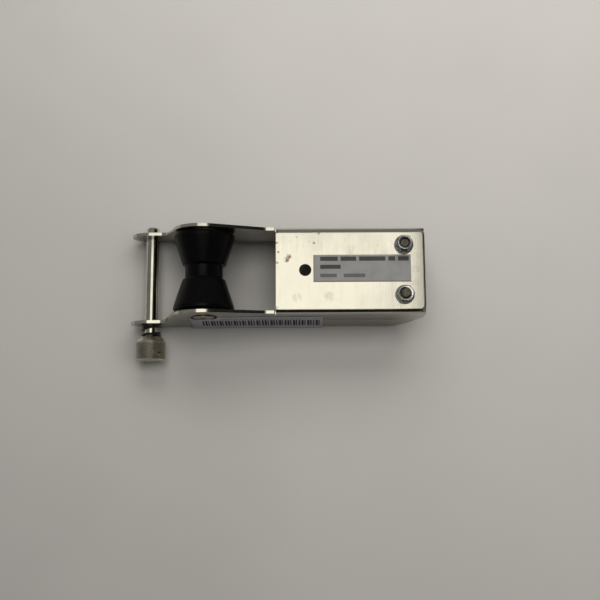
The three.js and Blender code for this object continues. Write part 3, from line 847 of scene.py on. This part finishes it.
def cylinder_mesh(name, radius, length, steps):
    mesh = bpy.data.meshes.new(name)
    work = bmesh.new()
    bmesh.ops.create_cone(work, cap_ends=True, segments=steps, radius1=radius, radius2=radius, depth=length)
    work.to_mesh(mesh)
    work.free()
    return mesh


def make_roll_pin():
    """A rolled spring pin: a tube that is open along one side."""
    half = KNOB_RADIUS - 0.45
    wall, gap = 0.5, math.radians(14)
    steps = 40
    vertices = []
    sections = [(ROLL_PIN_RADIUS, -half + 0.25), (ROLL_PIN_RADIUS - 0.15, -half),
                (ROLL_PIN_RADIUS - wall, -half), (ROLL_PIN_RADIUS - wall, half),
                (ROLL_PIN_RADIUS - 0.15, half), (ROLL_PIN_RADIUS, half - 0.25)]
    for step in range(steps + 1):
        angle = gap + (2 * math.pi - 2 * gap) * step / steps
        for radius, z in sections:
            vertices.append((radius * MM * math.cos(angle), radius * MM * math.sin(angle), z * MM))
    mesh = mesh_from("rolled_cross_pin", vertices, tube_faces(steps, len(sections)))
    mesh.transform(Matrix.Translation(ROLL_PIN) @ Matrix.Rotation(ROLL_PIN_TURN, 4, "Y"))
    return new_piece("rolled_cross_pin", mesh, "pin", ROLL_PIN_STEEL,
                     ("knob_roll_pin",))


def make_spring():
    """The coil between the south ear and the knob, with its end turns closed."""
    low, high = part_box("pin_spring")
    wire = 0.68
    coil = (high.z - low.z) / 2 / MM - wire
    start, end = high.y / MM - wire, low.y / MM + wire
    turns, steps_per_turn, around = 3.2, 48, 12
    steps = int(turns * steps_per_turn)
    closed = 0.62 / turns
    vertices = []
    for step in range(steps + 1):
        t = step / steps
        rise = smooth_step(closed, 1 - closed, t)
        settle = (min(t, closed) + max(0.0, t - 1 + closed)) * 0.16
        y = start + (end - start) * (0.06 * settle + rise * (1 - 0.012))
        turn = 2 * math.pi * turns * t + 0.6
        centre = Vector((coil * math.cos(turn), y, coil * math.sin(turn)))
        outward = Vector((math.cos(turn), 0, math.sin(turn)))
        for corner in range(around):
            angle = 2 * math.pi * corner / around
            point = centre + outward * wire * math.cos(angle) + Vector((0, wire * math.sin(angle), 0))
            vertices.append(point * MM + Vector((PIN.x, 0, PIN.z)))
    mesh = mesh_from("coil_spring", vertices, tube_faces(steps, around))
    return new_piece("coil_spring", mesh, "spring", SPRING_STEEL, ("pin_spring",))


# ---------- deck fasteners ----------

ACROSS_FLATS = 10.0
CORNER_RADIUS = ACROSS_FLATS / math.sqrt(3)
BOLT_HEAD_HEIGHT = 4.0


def hex_radius(angle):
    sector = angle % (math.pi / 3) - math.pi / 6
    return ACROSS_FLATS / 2 / math.cos(sector)


def hexagonal(radius, z, angle):
    """Limits a turned outline to the hexagon, so that its corners are turned off."""
    return min(radius, hex_radius(angle)) if radius > 4.0 else radius


def threaded(radius, low, high, pitch=1.0, depth=0.3):
    """The outline of a thread between two heights, as crests and roots."""
    outline = []
    count = int((high - low) / pitch * 2)
    for step in range(count + 1):
        outline.append((radius - depth * (step % 2), low + (high - low) * step / count))
    return outline


def make_fastener(name, outline, node, warp=None, steps=144, material=NUT_STEEL):
    low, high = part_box(node)
    centre = Vector(((low.x + high.x) / 2, (low.y + high.y) / 2, low.z))
    mesh = moved(turned_mesh(name, outline, steps=steps, warp=warp), centre)
    return new_piece(name, mesh, "frame", material, (node,), sharp=35)


def bolt_outline(length):
    head, corner = BOLT_HEAD_HEIGHT, CORNER_RADIUS
    shank = 3.0
    outline = [(0, 0.25), (3.4, 0.25), (3.7, 0), (4.65, 0), (corner, 0.62), (corner, head - 0.45),
               (4.9, head - 0.12), (4.75, head), (shank, head), (shank, head + 0.6)]
    outline += threaded(shank, head + 0.8, head + length - 0.8)
    return outline + [(shank - 0.6, head + length), (0, head + length)]


def washer_outline():
    hole, rim, height = 3.3, 6.2, 1.2
    square = [(hole + 1, 0), (rim, 0), (rim, height), (hole, height), (hole, 0), (hole + 1, 0)]
    return rounded(square, 0.22)


def lock_nut_outline():
    """From the seat up: a hexagon, a round crimped collar, and the recess for its insert."""
    outline = [(4.6, 0), (CORNER_RADIUS, 0.55), (CORNER_RADIUS, 3.9), (5.3, 4.3), (4.9, 4.5),
               (4.85, 5.5), (4.75, 5.85), (4.5, 6.1), (4.25, 6.2), (3.9, 6.2), (3.75, 6.1), (3.7, 5.9),
               (3.7, 5.7), (3.9, 5.6), (3.9, 4.5)]
    thread = threaded(3.35, 0.2, 4.4)
    inside = [(r, z) for r, z in reversed(thread)]
    return outline + inside + [(3.7, 0), (4.6, 0)]


def plain_nut_outline():
    outline = [(4.3, 0), (4.85, 0), (CORNER_RADIUS, 0.55), (CORNER_RADIUS, 4.45), (4.9, 4.85),
               (4.7, 5.0), (3.75, 5.0), (3.3, 4.7)]
    inside = [(r, z) for r, z in reversed(threaded(3.35, 0.3, 4.5))]
    return outline + inside + [(3.7, 0), (4.3, 0)]


def make_fasteners():
    for name in ("north", "south"):
        low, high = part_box(f"deck_bolt_{name}")
        length = (high.z - low.z) / MM - BOLT_HEAD_HEIGHT
        make_fastener(f"hex_bolt_{name}", bolt_outline(length), f"deck_bolt_{name}", hexagonal,
                      material=BOLT_STEEL)
        for place in ("inner", "outer"):
            make_fastener(f"{place}_flat_washer_{name}", washer_outline(), f"{place}_washer_{name}",
                          steps=96, material=SHADED_WASHER_STEEL)
    make_fastener("crimped_lock_nut", lock_nut_outline(), "lock_nut_north", hexagonal)
    make_fastener("plain_hex_nut", plain_nut_outline(), "hex_nut_south", hexagonal)
    ring = rounded([(3.4, 0), (3.8, 0), (3.8, 1.1), (3.0, 1.1), (3.0, 0), (3.4, 0)], 0.25)
    make_fastener("lock_ring", ring, "nut_insert_north", steps=96, material=INSERT_NYLON)


# ---------- labels ----------


def make_deck_label():
    low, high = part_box("deck_label")
    text_bars = [(0.07, 0.48, 0.28, 0.63, 0.85), (0.07, 0.17, 0.24, 0.3, 0.6), (0.31, 0.17, 0.53, 0.3, 0.6)]
    for start, end in ((0.07, 0.25), (0.28, 0.44), (0.47, 0.74), (0.77, 0.84), (0.87, 0.98)):
        text_bars.append((start, 0.77, end, 0.93, 0.85))
    paper = paper_finish("deck_label_paper", (0.3, 0.3, 0.292), low, high, text_bars)
    columns, rows = 62, 18
    vertices = []
    for row in range(rows + 1):
        for column in range(columns + 1):
            u, v = column / columns, row / rows
            # One corner of the paper has come up a little.
            lift = 0.25 * MM * max(0.0, u - 0.9) * 10 * max(0.0, 0.3 - v) * 3.3
            x = low.x + (high.x - low.x) * u
            vertices.append((x, low.y + (high.y - low.y) * v, high.z + lift * 0.4))
    mesh = mesh_from("printed_deck_label", vertices, grid_faces(columns, rows))
    piece = new_piece("printed_deck_label", mesh, "frame", paper,
                      ("deck_label",), sharp=60)
    thickened(piece, high.z - low.z)
    return applied(piece)


def side_label_finish(low, high):
    """Plain stripes and a row of short dashes stand for the print."""
    marks = []
    stripes = 42
    for stripe in range(stripes):
        start = 0.085 + 0.905 * stripe / stripes
        width = 0.0125 + 0.0045 * math.sin(stripe * 2.4)
        marks.append((start, 0.09, start + width, 0.45, 1.0))
    dashes = 26
    for dash in range(dashes):
        start = 0.24 + 0.6 * dash / dashes
        marks.append((start, 0.55, start + 0.014, 0.66, 0.7))
    return paper_finish("side_label_paper", (0.62, 0.63, 0.7), low, high, marks)


LABEL_ENDS = (-11.0, 78.5)
LABEL_TOPS = (32.4, 28.0)
LABEL_BOTTOM = 0.8
LABEL_THICKNESS = 0.15
LABEL_GAP = 0.22
LABEL_CURL = 0.7
CURL_HEIGHT = 3
HEAD_RADIUS = 7.2
HEAD_LIFT = 1.35


def make_side_label():
    """Paper that follows the folded cheek and passes over the lower part of the axle's head."""
    columns, rows = 110, 44
    vertices = []
    for row in range(rows + 1):
        for column in range(columns + 1):
            x = LABEL_ENDS[0] + (LABEL_ENDS[1] - LABEL_ENDS[0]) * column / columns
            top = LABEL_TOPS[0] + (LABEL_TOPS[1] - LABEL_TOPS[0]) * column / columns
            z = LABEL_BOTTOM + (top - LABEL_BOTTOM) * row / rows
            away = math.hypot(x, z - AXLE_HEIGHT)
            bulge = HEAD_LIFT * (1 - smooth_step(HEAD_RADIUS, HEAD_RADIUS + 2.4, away))
            curl = LABEL_CURL * (1 - smooth_step(LABEL_BOTTOM, LABEL_BOTTOM + CURL_HEIGHT, z))
            y = outer_half_width(x, z) + LABEL_GAP + bulge + curl
            vertices.append((AXLE.x + x * MM, -y * MM, FLOOR_Z + z * MM))
    mesh = mesh_from("printed_side_label", vertices, grid_faces(columns, rows))
    if mesh.polygons[0].normal.y > 0:
        mesh.flip_normals()
    paper = side_label_finish(*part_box("side_label"))
    piece = new_piece("printed_side_label", mesh, "frame", paper,
                      ("side_label",), sharp=60)
    thickened(piece, LABEL_THICKNESS * MM)
    return applied(piece)


def dress_frame_nodes():
    """The hidden bushes stay as the frame has them, with their own nylon."""
    for name in ("roller_bush_north", "roller_bush_south"):
        node = NODES[name]
        node.data.materials.clear()
        node.data.materials.append(BUSH_NYLON)


# ---------- floor, light and camera ----------


def make_floor():
    size = 6.0
    made = Finish("floor_paper", (0.6, 0.585, 0.56), 0.75)
    cloud = made.noise(6, 3.0, 0.5)
    made.colour(made.tint(made.remap(cloud, 0.3, 0.7, 0.0, 1.0), (0.6, 0.585, 0.56), (0.57, 0.556, 0.532)))
    made.bump(made.noise(500, 4.0, 0.6), 0.08, 0.0001)
    mesh = mesh_from("floor", [(-size, -size, FLOOR_Z), (size, -size, FLOOR_Z),
                               (size, size, FLOOR_Z), (-size, size, FLOOR_Z)], [(0, 1, 2, 3)])
    if mesh.polygons[0].normal.z < 0:
        mesh.flip_normals()
    mesh.materials.append(made.material)
    floor = bpy.data.objects.new("floor", mesh)
    bpy.context.scene.collection.objects.link(floor)


def make_light(name, place, aim, size, power, colour, seen_by):
    """An area light. Some are seen only in reflections and some only light what is matt."""
    lamp = bpy.data.lights.new(name, "AREA")
    lamp.shape = "RECTANGLE"
    lamp.size, lamp.size_y = size
    lamp.energy = power
    lamp.color = colour
    holder = bpy.data.objects.new(name, lamp)
    holder.location = place
    direction = Vector(aim) - Vector(place)
    holder.rotation_euler = direction.to_track_quat("-Z", "Y").to_euler()
    holder.visible_glossy = seen_by == "gloss"
    holder.visible_diffuse = seen_by == "diffuse"
    bpy.context.scene.collection.objects.link(holder)


def make_world():
    """A grey room with a dark patch to the south, as if a person stood there, and one to the east."""
    room_strength, dark_strength = 0.16, 0.01
    world = bpy.data.worlds.new("studio")
    world.use_nodes = True
    nodes, links = world.node_tree.nodes, world.node_tree.links
    split = nodes.new("ShaderNodeSeparateXYZ")
    links.new(nodes.new("ShaderNodeTexCoord").outputs["Generated"], split.inputs["Vector"])

    def ramp(socket, low, high):
        made = nodes.new("ShaderNodeMapRange")
        made.interpolation_type = "SMOOTHSTEP"
        links.new(socket, made.inputs["Value"])
        made.inputs["From Min"].default_value = low
        made.inputs["From Max"].default_value = high
        return made.outputs["Result"]

    def combined(operation, first, second=None):
        made = nodes.new("ShaderNodeMath")
        made.operation = operation
        links.new(first, made.inputs[0])
        if second is not None:
            links.new(second, made.inputs[1])
        return made.outputs["Value"]

    def patch(outward, sideways, height):
        narrow = ramp(combined("ABSOLUTE", sideways), 0.5, 0.35)
        return combined("MULTIPLY", combined("MULTIPLY", outward, height), narrow)

    x, y, z = (split.outputs[letter] for letter in "XYZ")
    south = patch(ramp(y, -0.02, -0.15), x, ramp(z, -0.02, 0.08))
    east = patch(ramp(x, 0.28, 0.4), y, ramp(z, 0.25, 0.4))
    shade = combined("MAXIMUM", south, east)
    level = nodes.new("ShaderNodeMapRange")
    links.new(shade, level.inputs["Value"])
    level.inputs["To Min"].default_value = room_strength
    level.inputs["To Max"].default_value = dark_strength
    background = nodes["Background"]
    background.inputs["Color"].default_value = (1.0, 0.99, 0.96, 1)
    links.new(level.outputs["Result"], background.inputs["Strength"])
    world.cycles_visibility.diffuse = False
    return world


def make_lights():
    """A glow for reflections, three lamps and a soft sun for what is matt, and the room."""
    centre = Vector((0, 0, FLOOR_Z))
    warm = (1.0, 0.98, 0.945)
    make_light("ceiling_glow", (-0.17, -0.045, 1.15), (-0.17, -0.045, 0), (0.75, 0.81),
               1.95, (1.0, 0.97, 0.875), "gloss")
    make_light("ceiling_lamp", (0.0, 0.24, 1.15), centre, (0.75, 0.5), 4.1, warm, "diffuse")
    make_light("north_lamp", (0.05, 0.45, 0.4), centre, (0.8, 0.3), 2.3, warm, "diffuse")
    make_light("east_lamp", (0.7, 0.0, 0.7), centre, (0.6, 0.6), 2.3, warm, "diffuse")
    fill = bpy.data.lights.new("even_fill", "SUN")
    fill.energy = 0.24
    fill.angle = math.radians(60)
    fill.color = warm
    holder = bpy.data.objects.new("even_fill", fill)
    holder.visible_glossy = False
    bpy.context.scene.collection.objects.link(holder)
    bpy.context.scene.world = make_world()


def make_camera():
    """Almost straight down, from a little south of the object."""
    lens, sensor = 52.8, 36.0
    place = Vector((63.2, -112.45, 604.3)) * MM
    tilt, roll = math.radians(9.42), math.radians(-0.31)
    turn = Matrix.Rotation(roll, 4, "Z")
    camera = bpy.data.cameras.new("camera")
    camera.lens = lens
    camera.sensor_width = sensor
    camera.clip_start = 0.01
    holder = bpy.data.objects.new("camera", camera)
    holder.matrix_world = (Matrix.Translation((AXLE.x, AXLE.y, FLOOR_Z)) @ turn
                           @ Matrix.Translation(place) @ Matrix.Rotation(tilt, 4, "X"))
    bpy.context.scene.collection.objects.link(holder)
    bpy.context.scene.camera = holder


make_camera()
make_lights()
make_floor()
make_channel()
make_roller()
make_axle_head("axle_bolt_head", -1, "axle_bolt")
make_axle_head("axle_sleeve_head", 1, "axle_sleeve_nut")
make_pin()
make_knob()
make_roll_pin()
make_spring()
make_fasteners()
make_deck_label()
make_side_label()
dress_frame_nodes()
bpy.context.scene.view_settings.view_transform = "Standard"
